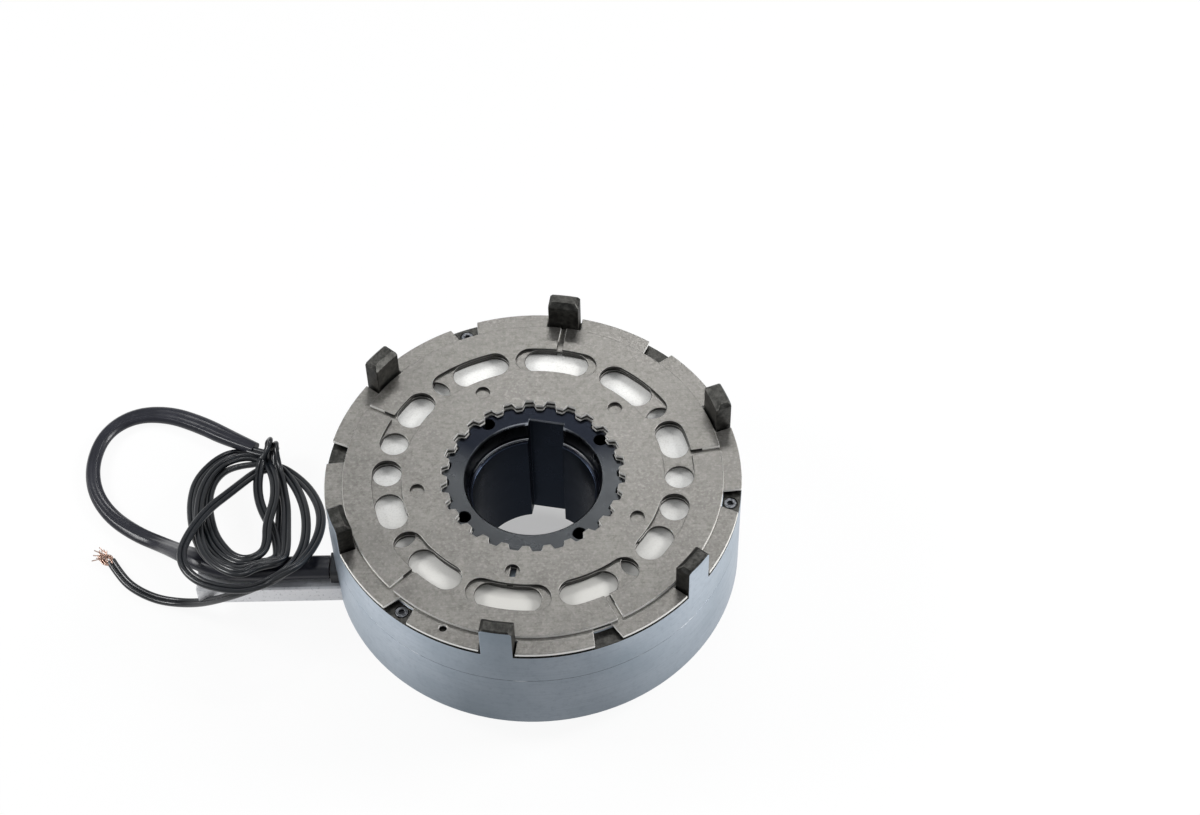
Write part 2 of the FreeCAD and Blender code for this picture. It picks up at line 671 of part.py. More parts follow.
# Torque arm

arm = box(-ARM_REACH, -ARM_INNER, arm_y0, arm_y1, BODY_BOTTOM, ARM_TOP)
long_edges = [e for e in arm.Edges if abs(e.BoundBox.XLength - (ARM_REACH - ARM_INNER)) < 0.01]
end_edges = [e for e in arm.Edges if e.BoundBox.XLength < 0.01 and e.BoundBox.XMin < -ARM_REACH + 0.01]
arm = arm.makeChamfer(ARM_EDGE, long_edges + end_edges)
arm_head_h = (ARM_SCREW_HEAD_D - ARM_SCREW_D) / 2
for x in arm_screw_x:
    arm = arm.cut(cylinder(ARM_SCREW_D / 2 + SCREW_CLEARANCE, BODY_BOTTOM - CUT, ARM_TOP + CUT, x, ARM_Y))
    arm = arm.cut(Part.makeCone(ARM_SCREW_HEAD_D / 2 + SCREW_CLEARANCE, ARM_SCREW_D / 2 + SCREW_CLEARANCE,
                                arm_head_h, Vector(x, ARM_Y, BODY_BOTTOM)))
save("torque_arm", arm)

arm_screws = []
for x in arm_screw_x:
    head = Part.makeCone(ARM_SCREW_HEAD_D / 2, ARM_SCREW_D / 2, arm_head_h, Vector(x, ARM_Y, BODY_BOTTOM))
    shank = cylinder(ARM_SCREW_D / 2, BODY_BOTTOM + arm_head_h, arm_screw_tip, x, ARM_Y)
    socket = hexagon(ARM_SCREW_SOCKET, x, ARM_Y, BODY_BOTTOM - CUT, BODY_BOTTOM + SCREW_SOCKET_DEPTH)
    arm_screws.append(head.fuse(shank).cut(socket))
save("arm_screws", Part.makeCompound(arm_screws))

# Lead

grommet = box(GROMMET_X, GROMMET_X + GROMMET_DEPTH, LEAD_Y - GROMMET_WIDTH / 2,
              LEAD_Y + GROMMET_WIDTH / 2, ARM_TOP, ARM_TOP + GROMMET_HEIGHT)
round_edges = [e for e in grommet.Edges if e.BoundBox.XLength > GROMMET_DEPTH - 0.01
               and e.BoundBox.ZMin > ARM_TOP + 0.01]
grommet = grommet.makeFillet(GROMMET_ROUND, round_edges)
save("cable_grommet", grommet)

save("lead_sleeve", cord(SLEEVE_POINTS, SLEEVE_D, "sleeve"))

section_r = HANK_SECTION_D / 2
half_side = HANK_SIDE / 2
hank_path = Part.Wire([
    Part.LineSegment(Vector(HANK_END_R, -half_side, 0), Vector(HANK_END_R, half_side, 0)).toShape(),
    Part.Arc(Vector(HANK_END_R, half_side, 0), Vector(0, half_side + HANK_END_R, 0),
             Vector(-HANK_END_R, half_side, 0)).toShape(),
    Part.LineSegment(Vector(-HANK_END_R, half_side, 0), Vector(-HANK_END_R, -half_side, 0)).toShape(),
    Part.Arc(Vector(-HANK_END_R, -half_side, 0), Vector(0, -half_side - HANK_END_R, 0),
             Vector(HANK_END_R, -half_side, 0)).toShape(),
])
hank_section = Part.Wire(Part.makeCircle(section_r, Vector(HANK_END_R, -half_side, 0), Vector(0, 1, 0)))
hank = hank_path.makePipeShell([hank_section], True, False)
hank.rotate(Vector(0, 0, 0), Vector(1, 0, 0), -HANK_TILT)
hank.translate(from_rim(HANK_CENTRE))
save("lead_hank", hank)

save("lead_tail", cord(TAIL_POINTS, CABLE_D, "tail"))

tail_end = from_rim(TAIL_POINTS[-1])
tail_way = tail_end - from_rim(TAIL_POINTS[-2])
strands = Part.makeCone(STRAND_ROOT_D / 2, STRAND_SPREAD / 2, STRAND_LENGTH, tail_end, tail_way)
save("copper_strands", strands)
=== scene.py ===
import math
import random

import bmesh
import bpy
from mathutils import Matrix, Vector


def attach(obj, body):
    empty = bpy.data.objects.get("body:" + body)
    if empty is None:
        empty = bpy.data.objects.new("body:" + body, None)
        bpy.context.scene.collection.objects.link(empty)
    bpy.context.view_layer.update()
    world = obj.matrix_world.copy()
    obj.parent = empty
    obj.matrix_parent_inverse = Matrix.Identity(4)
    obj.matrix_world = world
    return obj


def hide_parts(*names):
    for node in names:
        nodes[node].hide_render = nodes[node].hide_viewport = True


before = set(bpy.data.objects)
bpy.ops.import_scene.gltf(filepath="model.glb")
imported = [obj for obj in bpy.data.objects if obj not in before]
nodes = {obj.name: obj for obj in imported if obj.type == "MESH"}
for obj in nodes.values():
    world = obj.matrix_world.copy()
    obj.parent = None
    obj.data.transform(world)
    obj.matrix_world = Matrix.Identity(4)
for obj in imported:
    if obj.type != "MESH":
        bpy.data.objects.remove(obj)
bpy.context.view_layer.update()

mm = 0.001


# the camera stands where the photograph was taken from

cameraSetup = {
    "place": (0.031302, -0.615428, 0.923586),
    "lens": 71.27,
    "lookDown": 37.38,   # degrees away from straight down
    "turn": 0.093,       # degrees, as is the roll
    "roll": -1.173,
}


def addCamera(setup):
    data = bpy.data.cameras.new("photoCamera")
    data.sensor_width = 36.0
    data.lens = setup["lens"]
    data.clip_start = 0.01
    camera = bpy.data.objects.new("photoCamera", data)
    turn = (Matrix.Rotation(math.radians(setup["turn"]), 4, "Z")
            @ Matrix.Rotation(math.radians(setup["lookDown"]), 4, "X")
            @ Matrix.Rotation(math.radians(setup["roll"]), 4, "Z"))
    camera.matrix_world = Matrix.Translation(setup["place"]) @ turn
    bpy.context.scene.collection.objects.link(camera)
    bpy.context.scene.camera = camera


addCamera(cameraSetup)
print("camera set")


def hexColour(code):
    # sRGB hex to the linear values that the shaders want
    channels = [int(code[k:k + 2], 16) / 255 for k in (1, 3, 5)]
    linear = [c / 12.92 if c <= 0.04045 else ((c + 0.055) / 1.055) ** 2.4 for c in channels]
    return linear + [1.0]


def addNode(tree, kind, inputs, **settings):
    # one node with its settings, values and links
    node = tree.nodes.new(kind)
    for key, value in settings.items():
        setattr(node, key, value)
    for key, value in inputs.items():
        if isinstance(value, bpy.types.NodeSocket):
            tree.links.new(value, node.inputs[key])
        else:
            node.inputs[key].default_value = value
    return node


def newMaterial(name):
    material = bpy.data.materials.new(name)
    material.use_nodes = True
    tree = material.node_tree
    tree.nodes.clear()
    shader = tree.nodes.new("ShaderNodeBsdfPrincipled")
    out = tree.nodes.new("ShaderNodeOutputMaterial")
    tree.links.new(shader.outputs["BSDF"], out.inputs["Surface"])
    return material, tree, shader


def fineness(millimetres):
    # texture scale at which one feature of a pattern is that many millimetres across
    return 1000.0 / millimetres


noiseReach = (0.3, 0.7)  # nearly all values of a noise pattern lie between these
whole = (0.0, 1.0)


def overlap(tree, *parts):
    # how much shows where all the parts meet: a part is a mask, a number, or a pattern with the two
    # values that it runs between and the shares that these give
    total = 1.0
    for part in parts:
        if isinstance(part, tuple):
            pattern, (start, end), (first, last) = part
            part = addNode(tree, "ShaderNodeMapRange",
                           {"Value": pattern, "From Min": start, "From Max": end,
                            "To Min": first, "To Max": last}).outputs["Result"]
        both = addNode(tree, "ShaderNodeMath", {0: total, 1: part}, operation="MULTIPLY")
        total = both.outputs["Value"]
    return total


def layColours(tree, tone, *layers):
    # colours laid one over another; a layer is its colour and the parts that limit it
    for colour, *parts in layers:
        under, over = [hexColour(c) if isinstance(c, str) else c for c in (tone, colour)]
        tone = addNode(tree, "ShaderNodeMix", {"Factor": overlap(tree, *parts), 6: under, 7: over},
                       data_type="RGBA").outputs[2]
    return tone


def patternLayer(pattern, mark):
    # the layer of a mark: its colour, the values that its pattern runs between, and their shares
    colour, reach, share = mark
    return colour, (pattern, reach, share)


def dressShader(tree, shader, tone, gloss, reliefs, even):
    # tone, roughness that follows a pattern, reliefs one on another, and what is the same all over
    tree.links.new(tone, shader.inputs["Base Color"])
    if gloss is not None:
        tree.links.new(overlap(tree, gloss), shader.inputs["Roughness"])
    below = {}
    for pattern, depth in reliefs:
        bump = addNode(tree, "ShaderNodeBump", {"Height": pattern, **depth, **below})
        below = {"Normal": bump.outputs["Normal"]}
        tree.links.new(bump.outputs["Normal"], shader.inputs["Normal"])
    for key, value in even.items():
        shader.inputs[key].default_value = value


def aroundAxis(tree):
    # radius, height and direction about the bore axis, for marks that run round a turned part
    place = addNode(tree, "ShaderNodeTexCoord", {}).outputs["Object"]
    parts = addNode(tree, "ShaderNodeSeparateXYZ", {"Vector": place}).outputs
    level = addNode(tree, "ShaderNodeCombineXYZ", {"X": parts["X"], "Y": parts["Y"]}).outputs["Vector"]
    radius = addNode(tree, "ShaderNodeVectorMath", {0: level}, operation="LENGTH")
    way = addNode(tree, "ShaderNodeVectorMath", {0: level}, operation="NORMALIZE")
    return {"place": place, "radius": radius.outputs["Value"], "height": parts["Z"],
            "way": way.outputs["Vector"]}


def turningMarks(tree, axis, pitch, arc):
    # lines about pitch millimetres apart that last for arc degrees: the real ones are a tenth of a
    # millimetre apart, and are drawn as coarse as they need to show
    turned = addNode(tree, "ShaderNodeVectorMath",
                     {0: axis["way"], "Scale": math.degrees(1.0) / arc}, operation="SCALE")
    line = addNode(tree, "ShaderNodeMath", {0: axis["radius"], 1: axis["height"]}, operation="ADD")
    across = addNode(tree, "ShaderNodeMath",
                     {0: line.outputs["Value"], 1: fineness(pitch)}, operation="MULTIPLY")
    return addNode(tree, "ShaderNodeTexNoise",
                   {"Vector": turned.outputs["Vector"], "W": across.outputs["Value"], "Scale": 1.0,
                    "Detail": 3.0, "Roughness": 0.6}, noise_dimensions="4D").outputs["Fac"]


def plainMaterial(setup):
    # one pattern drives tone, gloss and relief: turned lines where the setup has them, or a texture
    material, tree, shader = newMaterial(setup["name"])
    if "lines" in setup:
        pattern = turningMarks(tree, aroundAxis(tree), *setup["lines"])
    else:
        place = addNode(tree, "ShaderNodeTexCoord", {}).outputs["Object"]
        kind, settings = setup.get("texture", "ShaderNodeTexNoise"), setup.get("settings", {})
        pattern = addNode(tree, kind, {"Vector": place, **setup["grain"]}, **settings).outputs["Fac"]
    dark, light = setup["tones"]
    tone = layColours(tree, dark, (light, (pattern, setup.get("toneReach", noiseReach), whole)))
    gloss = None
    if "roughness" in setup:
        gloss = (pattern, setup.get("glossReach", noiseReach), setup["roughness"])
    reliefs = [(pattern, setup["relief"])] if "relief" in setup else []
    dressShader(tree, shader, tone, gloss, reliefs, setup["even"])
    return material


def pieceFromMesh(name, mesh, material, slot, body, *replaced):
    piece = bpy.data.objects.new(name, mesh)
    bpy.context.scene.collection.objects.link(piece)
    mesh.materials.clear()
    mesh.materials.append(material)
    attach(piece, body)
    if replaced:
        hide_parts(*replaced)
    return piece


# the lead: a flattened sleeve, then a twin cable wound up and left lying on the bar

sleeveSetup = {
    "points": [  # the route on the centreline, in millimetres
        (-93.4, -18.0, 26.7), (-107.9, -17.8, 26.6), (-123.8, -19.0, 26.8), (-140.8, -18.4, 27.2),
        (-155.5, -11.2, 25.6), (-165.4, -0.9, 16.0), (-174.8, 9.4, 6.2), (-188.4, 17.6, 3.8),
        (-201.9, 28.1, 3.7), (-211.3, 42.6, 3.7), (-214.2, 59.8, 3.7), (-209.9, 77.4, 3.7),
        (-197.1, 87.8, 3.8), (-179.9, 88.1, 3.9), (-162.9, 80.7, 4.2), (-149.0, 71.6, 5.2),
        (-135.6, 63.2, 8.2),
    ],
    "width": 7.2,
    "flatness": 0.5,
    "ridge": 0.5,       # how far a wire pushes the sleeve out
    # the two wires and the hollow between them: place and reach across the width, height
    "swells": ((0.3, 0.1, 1.0), (-0.26, 0.12, 0.8), (0.06, 0.12, -0.5)),
    # how wide it is pressed at each point, and how it is turned there, in degrees
    "spread": [1.6, 1.6, 1.6, 1.62, 1.6, 1.45, 1.3, 1.16, 1.05, 1.0, 1.0, 1.04, 1.1, 1.2, 1.26,
               1.24, 0.9],
    "tilt": [0, 0, 0, 4, 14, 26, 24, 10, -8, -14, -16, -8, 8, 14, 12, 6, 0],
}

cableSetup = {  # in millimetres
    "core": 2.4,
    "spacing": 2.2,     # between the middles of the two cores
    "width": 4.6,
    "twist": (8, 0.53),   # degrees that the cable rolls to and fro, radians from point to point
    "lead": [(-138.5, 62.6, 7.8), (-133.0, 59.6, 9.4), (-128.6, 57.2, 11.2)],
    # stations of a turn, clockwise from the tie: x and y of the inmost and of the outmost strand
    "stations": [
        (-125.5, 53.0, -122.5, 51.5), (-122.5, 42.0, -113.5, 42.0), (-121.5, 30.0, -105.8, 30.5),
        (-122.0, 18.0, -99.8, 15.5), (-123.5, 6.0, -98.0, 2.0), (-122.5, -7.0, -99.8, -12.0),
        (-123.0, -14.5, -105.0, -25.0), (-129.5, -19.3, -115.0, -34.5), (-137.0, -15.5, -128.0, -38.8),
        (-142.5, -8.0, -140.0, -36.3), (-147.0, 0.5, -150.5, -26.5), (-150.2, 10.5, -156.5, -12.5),
        (-152.5, 21.0, -160.0, 4.2), (-153.5, 32.0, -162.2, 24.0), (-152.0, 42.0, -161.0, 42.0),
        (-147.5, 49.5, -154.6, 57.6), (-140.0, 52.5, -147.0, 65.0), (-133.5, 53.5, -137.5, 64.0),
    ],
    # at the stations in "marks": share of the way outwards, lift off the leaning plane, tilt
    "marks": (0, 3, 6, 8, 11, 14, 17),
    "turns": [
        ((0.0, 0.0, 0.0, 0.0, 0.02, 0.06, 0.1), (2.5, 2.0, 0.5, -1.5, -1.5, -1.0, -1.5),
         (8, 0, 10, 10, 0, -28, -34)),
        ((0.0, 0.0, 0.0, 0.28, 0.34, 0.76, 0.8), (1.5, -1.5, -2.0, -2.0, -2.0, -2.0, -2.5),
         (0, 4, 12, -8, 6, 4, 0)),
        ((0.0, 0.0, 0.0, 0.5, 0.65, 1.0, 1.0), (1.5, 0.5, 0.0, 0.0, 0.0, -0.5, -3.0),
         (0, 18, 24, 4, -10, 2, 8)),
        ((0.0, 0.0, 0.0, 0.66, 0.55, 0.35, 0.5), (-2.5, -1.0, -0.5, 1.0, 1.0, 1.5, 0.5),
         (12, 30, 22, 0, 24, 10, 6)),
        ((0.55, 0.67, 0.84, 0.98, 0.98, 0.98, 0.98), (-1.0, 1.5, 0.5, -2.5, -2.5, -2.5, -2.5),
         (0, 16, -8, 6, 0, 0, 0)),
        ((1.0, 1.0, 1.0, 1.0, 1.0, 1.0, 1.0), (-1.0, 2.0, 2.5, 2.5, 2.5, 2.5, 2.5),
         (4, -12, 10, 14, 0, 0, 0)),
    ],
    # the first four turns start across the middle instead: x, y, lift and tilt
    "crossings": {
        0: [(-128.6, 52.6, 2.5, 10), (-124.4, 41.5, 2.8, 4), (-122.3, 31.0, 2.8, 0),
            (-121.7, 21.0, 2.6, 0), (-122.6, 11.5, 2.4, 4), (-123.0, 2.5, 1.8, 10),
            (-122.0, -6.5, 0.8, 20), (-123.0, -14.0, -0.4, 24)],
        1: [(-131.2, 52.2, 3.0, 10), (-131.9, 42.0, 0.8, 0), (-131.1, 32.5, -0.4, -6),
            (-129.2, 23.9, -1.0, 0), (-126.2, 15.5, -1.6, 6), (-122.6, 8.0, -1.8, 8),
            (-119.6, 0.0, -1.6, 10), (-117.0, -9.8, -1.4, 12), (-116.4, -18.0, -1.6, 8)],
        2: [(-123.6, 49.4, 3.2, 24), (-121.8, 43.0, 0.8, 20), (-119.9, 36.0, 0.0, 16),
            (-118.4, 29.0, -0.2, 12), (-116.4, 20.0, 0.0, 0), (-115.2, 9.9, 0.0, -8),
            (-114.0, -1.0, 0.2, 0), (-112.8, -11.5, 0.4, 12), (-113.0, -20.5, 0.4, 18)],
        3: [(-126.6, 52.0, -1.5, 10), (-122.8, 40.5, -1.8, 0), (-120.4, 30.0, -2.2, -6),
            (-119.0, 20.0, -2.4, 0), (-118.4, 9.9, -2.6, 6), (-117.6, -1.0, -2.4, 12),
            (-115.6, -11.5, -1.6, 10), (-113.6, -20.5, -0.6, 6)],
    },
    "crossedStations": 7,   # how many stations such a start takes the place of
    # the folds over the tie after the first and the second turn
    "folds": {
        0: [(-129.8, 58.2, 1.8, 30), (-129.0, 61.2, 3.2, 60), (-128.2, 62.9, 6.4, 74),
            (-127.2, 62.1, 9.6, 76), (-126.9, 59.0, 10.9, 76), (-128.0, 55.8, 8.8, 60),
            (-129.8, 53.8, 5.6, 30)],
        1: [(-131.4, 60.8, 0.4, 16), (-127.9, 60.7, 2.0, 44), (-125.7, 61.4, 4.8, 68),
            (-124.5, 60.6, 7.8, 76), (-124.2, 57.4, 9.0, 76), (-124.2, 54.0, 7.0, 56)],
    },
    # the fifth turn leaves the front and lies across the others on its way back to the tie
    "diagonalAfter": 8,
    "diagonal": [
        (-140.0, -36.6, -2.5, 8), (-150.0, -32.5, -1.5, 10), (-157.2, -25.0, 0.5, 14),
        (-159.8, -15.2, 2.5, 10), (-157.7, -4.4, 4.0, 0), (-154.2, 6.2, 4.8, 0),
        (-149.8, 16.0, 5.0, 0), (-144.3, 24.2, 4.8, 0), (-138.4, 34.1, 4.0, 0),
        (-133.6, 44.6, 1.4, 10), (-128.6, 52.0, -2.0, 20),
    ],
    "lastStation": 6,      # where the sixth turn ends and the tail begins
    # the plane that the turns lie on: its height where y is planeMiddle, and its lean in degrees
    "planeHeight": 23.4,
    "planeMiddle": 14.0,
    "planeTilt": 20.0,
    "tail": [
        (-110.5, -29.6, 41.2, 10), (-119.4, -34.0, 39.5, 4), (-130.4, -35.8, 34.5, 0),
        (-141.2, -32.8, 25.0, 0), (-151.9, -27.4, 13.5, 0), (-163.6, -21.8, 4.8, 0),
        (-176.0, -18.0, 2.3, 0), (-188.0, -11.2, 2.3, 6), (-194.8, -3.2, 2.3, 10),
        (-199.2, 3.8, 2.3, 0),
    ],
}


def atStation(marks, values, station):
    # straight line between the two marks that a station lies between
    for low, high, first, second in zip(marks, marks[1:], values, values[1:]):
        if station <= high:
            return first + (second - first) * (station - low) / (high - low)
    return values[-1]


def hankRoute(setup):
    # every turn lies on a plane that leans on the bar, lifted by what is under it
    slope = math.tan(math.radians(setup["planeTilt"]))

    def onPlane(x, y, lift, tilt):
        return (x, y, setup["planeHeight"] - slope * (y - setup["planeMiddle"]) + lift, tilt)

    route = [(*point, 0) for point in setup["lead"]]
    for index, (shares, lifts, tilts) in enumerate(setup["turns"]):
        last = index == len(setup["turns"]) - 1
        crossing = setup["crossings"].get(index, [])
        route += [onPlane(*point) for point in crossing]
        for station, (x0, y0, x1, y1) in enumerate(setup["stations"]):
            if crossing and station < setup["crossedStations"]:
                continue
            if last and station > setup["lastStation"]:
                break
            if index == len(setup["turns"]) - 2 and station > setup["diagonalAfter"]:
                route += [onPlane(*point) for point in setup["diagonal"]]
                break
            share, lift, tilt = [atStation(setup["marks"], values, station)
                                 for values in (shares, lifts, tilts)]
            route.append(onPlane(x0 + (x1 - x0) * share, y0 + (y1 - y0) * share, lift, tilt))
        route += [onPlane(*point) for point in setup["folds"].get(index, [])]
    return route + setup["tail"]


def inMetres(points):
    return [Vector(point[:3]) * mm for point in points]


def addSpline(name, points, tilts, radii):
    data = bpy.data.curves.new(name, "CURVE")
    data.dimensions = "3D"
    data.resolution_u = 7
    spline = data.splines.new("NURBS")
    spline.points.add(len(points) - 1)
    for k, place in enumerate(points):
        spline.points[k].co = (*place, 1.0)
        spline.points[k].radius = radii[k] if radii else 1.0
        spline.points[k].tilt = math.radians(tilts[k])
    spline.order_u = 3
    spline.use_endpoint_u = True
    curve = bpy.data.objects.new(name, data)
    bpy.context.scene.collection.objects.link(curve)
    return curve


def addProfile(name, outline):
    data = bpy.data.curves.new(name, "CURVE")
    data.dimensions = "2D"
    spline = data.splines.new("POLY")
    spline.points.add(len(outline) - 1)
    for point, (x, y) in zip(spline.points, outline):
        point.co = (x * mm, y * mm, 0.0, 1.0)
    spline.use_cyclic_u = True
    profile = bpy.data.objects.new(name, data)
    bpy.context.scene.collection.objects.link(profile)
    return profile


def sweep(name, points, outline, tilts, radii=None, weld=0.000005, crease=60):
    # returns the mesh of a section drawn along the spline, and the line that it follows
    curve = addSpline(name + "Line", points, tilts, radii)
    line = bpy.data.meshes.new_from_object(curve)
    path = [v.co.copy() for v in line.vertices]
    profile = addProfile(name + "Section", outline)
    curve.data.twist_mode = "Z_UP"
    curve.data.bevel_mode = "OBJECT"
    curve.data.bevel_object = profile
    curve.data.use_fill_caps = True
    bpy.context.view_layer.update()
    mesh = bpy.data.meshes.new_from_object(curve.evaluated_get(bpy.context.evaluated_depsgraph_get()))
    mesh.name = name
    bpy.data.meshes.remove(line)
    bpy.data.objects.remove(curve)
    bpy.data.objects.remove(profile)
    bm = bmesh.new()
    bm.from_mesh(mesh)
    bmesh.ops.remove_doubles(bm, verts=bm.verts, dist=weld)
    bmesh.ops.recalc_face_normals(bm, faces=bm.faces)
    bm.to_mesh(mesh)
    bm.free()
    mesh.polygons.foreach_set("use_smooth", [True] * len(mesh.polygons))
    mesh.set_sharp_from_angle(angle=math.radians(crease))
    return mesh, path


def lineLength(path):
    return sum((b - a).length for a, b in zip(path, path[1:]))


def sleeveOutline(setup, count=44, square=0.8):
    # tube pressed flat over two wires, which show as ridges near its edges
    outline = []
    for k in range(count):
        across, up = math.cos(2 * math.pi * k / count), math.sin(2 * math.pi * k / count)
        x = math.copysign(abs(across) ** square, across) * setup["width"] / 2
        y = math.copysign(abs(up) ** square, up) * setup["width"] * setup["flatness"] / 2
        swell = sum(height * math.exp(-((x / setup["width"] - place) / reach) ** 2)
                    for place, reach, height in setup["swells"])
        outline.append((x, y + math.copysign(setup["ridge"] * swell, up) * abs(up) ** 0.5))
    return outline


def twinOutline(core, spacing, count=16):
    # two round cores side by side that meet in a groove
    reach = math.pi - math.acos(spacing / core)
    outline = []
    for side in (1, -1):
        for k in range(count):
            a = -reach + 2 * reach * k / count
            outline.append((side * (spacing / 2 + math.cos(a) * core / 2),
                            side * math.sin(a) * core / 2))
    return outline


# PVC insulating sleeve, extruded: black, half gloss, pressed flat with soft creases
sleeveFinish = {
    "name": "blackPvcSleeve",
    "grain": {"Scale": fineness(9), "Detail": 4.0},
    "tones": ("#13141B", "#262731"),
    "toneReach": whole,
    "roughness": (0.26, 0.38),
    "glossReach": whole,
    "relief": {"Strength": 0.35, "Distance": 0.0008},
    "even": {"IOR": 1.5},
}

# flat twin cable, extruded PVC: blacker and glossier than the sleeve, with faint draw marks
cableFinish = {
    "name": "blackPvcCable",
    "grain": {"Scale": fineness(3), "Detail": 3.0},
    "tones": ("#080B0F", "#12171E"),
    "toneReach": whole,
    "roughness": (0.27, 0.31),
    "glossReach": whole,
    "even": {"IOR": 1.6},
}

sleevePoints = inMetres(sleeveSetup["points"])
sleeveMesh, sleevePath = sweep("leadSleeve", sleevePoints, sleeveOutline(sleeveSetup),
                               sleeveSetup["tilt"], sleeveSetup["spread"])
leadSleeve = pieceFromMesh("leadSleeve", sleeveMesh, plainMaterial(sleeveFinish), "black_sleeve",
                           "magnet", "lead_sleeve")

cableRoute = hankRoute(cableSetup)
cablePoints = inMetres(cableRoute)
twist, twistStep = cableSetup["twist"]
cableTilts = [point[3] + twist * math.sin(k * twistStep) for k, point in enumerate(cableRoute)]
cableOutline = twinOutline(cableSetup["core"], cableSetup["spacing"])
cableMesh, cablePath = sweep("leadCable", cablePoints, cableOutline, cableTilts)
leadCable = pieceFromMesh("leadCable", cableMesh, plainMaterial(cableFinish), "black_rubber",
                          "magnet", "lead_hank", "lead_tail")


strandSetup = {  # lengths in metres
    "seed": 11,
    "count": 28,
    "steps": 5,
    "wander": 0.3,            # radians that a wire may leave its own place in the ring by
    "length": 0.0088,
    "lengths": (0.5, 1.0),    # shares of the length
    "wire": 0.00052,          # thicker than a real wire, so that it shows
    "bundle": 0.0012,         # radius of the bare end that the wires leave
    "roots": (0.2, 0.8),      # shares of the bundle
    "buried": 0.002,          # how far a wire starts inside the cable
    "spread": 0.0032,
    "spreads": (0.1, 1.0),
    "opening": 1.5,           # 1 for a cone, more for a trumpet
    "flatness": 0.7,          # height of the fan against its width
    "curl": 0.0028,
    "bows": 1.3,              # half waves along a wire
    "rise": 0.3,              # how much of a bow goes upwards
    "drift": (-1.5, 0.35, 0.0),
    "floorGap": 0.0004,
}

# stranded copper, bare and a little tarnished: pale pink-orange metal
copperFinish = {
    "name": "bareCopperWire",
    "grain": {"Scale": fineness(2), "Detail": 2.0},
    "tones": ("#9C7767", "#D9BFB0"),
    "toneReach": whole,
    "even": {"Metallic": 1.0, "Roughness": 0.36},
}


def addStrands(setup, start, before):
    # loose wires that leave the cut end, fan out, curl and turn the way they were pulled
    random.seed(setup["seed"])
    along = (start - before).normalized()
    way = (along + Vector(setup["drift"])).normalized()
    side = way.cross(Vector((0, 0, 1))).normalized()
    lift = side.cross(way)
    data = bpy.data.curves.new("copperStrands", "CURVE")
    data.dimensions = "3D"
    data.resolution_u = 4
    data.bevel_depth = setup["wire"] / 2
    data.bevel_resolution = 1
    for k in range(setup["count"]):
        angle = 2 * math.pi * k / setup["count"] + random.uniform(-setup["wander"], setup["wander"])
        reach = setup["length"] * random.uniform(*setup["lengths"])
        out = setup["spread"] * random.uniform(*setup["spreads"])
        root = setup["bundle"] * random.uniform(*setup["roots"])
        swing = random.uniform(-1, 1) * setup["curl"]
        spline = data.splines.new("NURBS")
        spline.points.add(setup["steps"])
        for step, point in enumerate(spline.points):
            t = step / setup["steps"]
            off = root + out * t ** setup["opening"]
            bow = swing * math.sin(math.pi * t * setup["bows"])
            place = (start - along * setup["buried"] * (1 - t) + way * reach * t
                     + side * (off * math.cos(angle) + bow)
                     + lift * (off * math.sin(angle) * setup["flatness"] + abs(bow) * setup["rise"]))
            place.z = max(place.z, setup["floorGap"])
            point.co = (*place, 1.0)
        spline.order_u = 3
        spline.use_endpoint_u = True
    curve = bpy.data.objects.new("copperStrandsLine", data)
    bpy.context.scene.collection.objects.link(curve)
    bpy.context.view_layer.update()
    mesh = bpy.data.meshes.new_from_object(curve.evaluated_get(bpy.context.evaluated_depsgraph_get()))
    bpy.data.objects.remove(curve)
    mesh.name = "copperStrands"
    return pieceFromMesh("copperStrands", mesh, plainMaterial(copperFinish), "copper", "magnet",
                         "copper_strands")


copperStrands = addStrands(strandSetup, cablePath[-1], cablePath[-3])

print("cords laid: sleeve %.3f m, cable %.3f m" % (lineLength(sleevePath), lineLength(cablePath)))


# patterns that the larger parts share

def strokes(tree, place, turn, width, length):
    # strokes along X, width and length in millimetres; each turn shows another part of the pattern,
    # and they are several times as wide as real ones, so that they show
    laid = addNode(tree, "ShaderNodeMapping",
                   {"Vector": place, "Rotation": (0.0, 0.0, math.radians(turn)),
                    "Scale": (fineness(length), fineness(width), fineness(width))})
    return addNode(tree, "ShaderNodeTexNoise",
                   {"Vector": laid.outputs["Vector"], "Scale": 1.0, "Detail": 2.0}).outputs["Fac"]


def between(tree, value, low, high):
    # 1 inside the band, 0 outside it
    over = addNode(tree, "ShaderNodeMath", {0: value, 1: low}, operation="GREATER_THAN")
    under = addNode(tree, "ShaderNodeMath", {0: value, 1: high}, operation="LESS_THAN")
    return overlap(tree, over.outputs["Value"], under.outputs["Value"])


def facings(tree):
    # 1 on faces that look up, 0 on walls, -1 on faces that look down; then the same without its sign
    normal = addNode(tree, "ShaderNodeNewGeometry", {}).outputs["Normal"]
    up = addNode(tree, "ShaderNodeSeparateXYZ", {"Vector": normal}).outputs["Z"]
    return up, addNode(tree, "ShaderNodeMath", {0: up}, operation="ABSOLUTE").outputs["Value"]


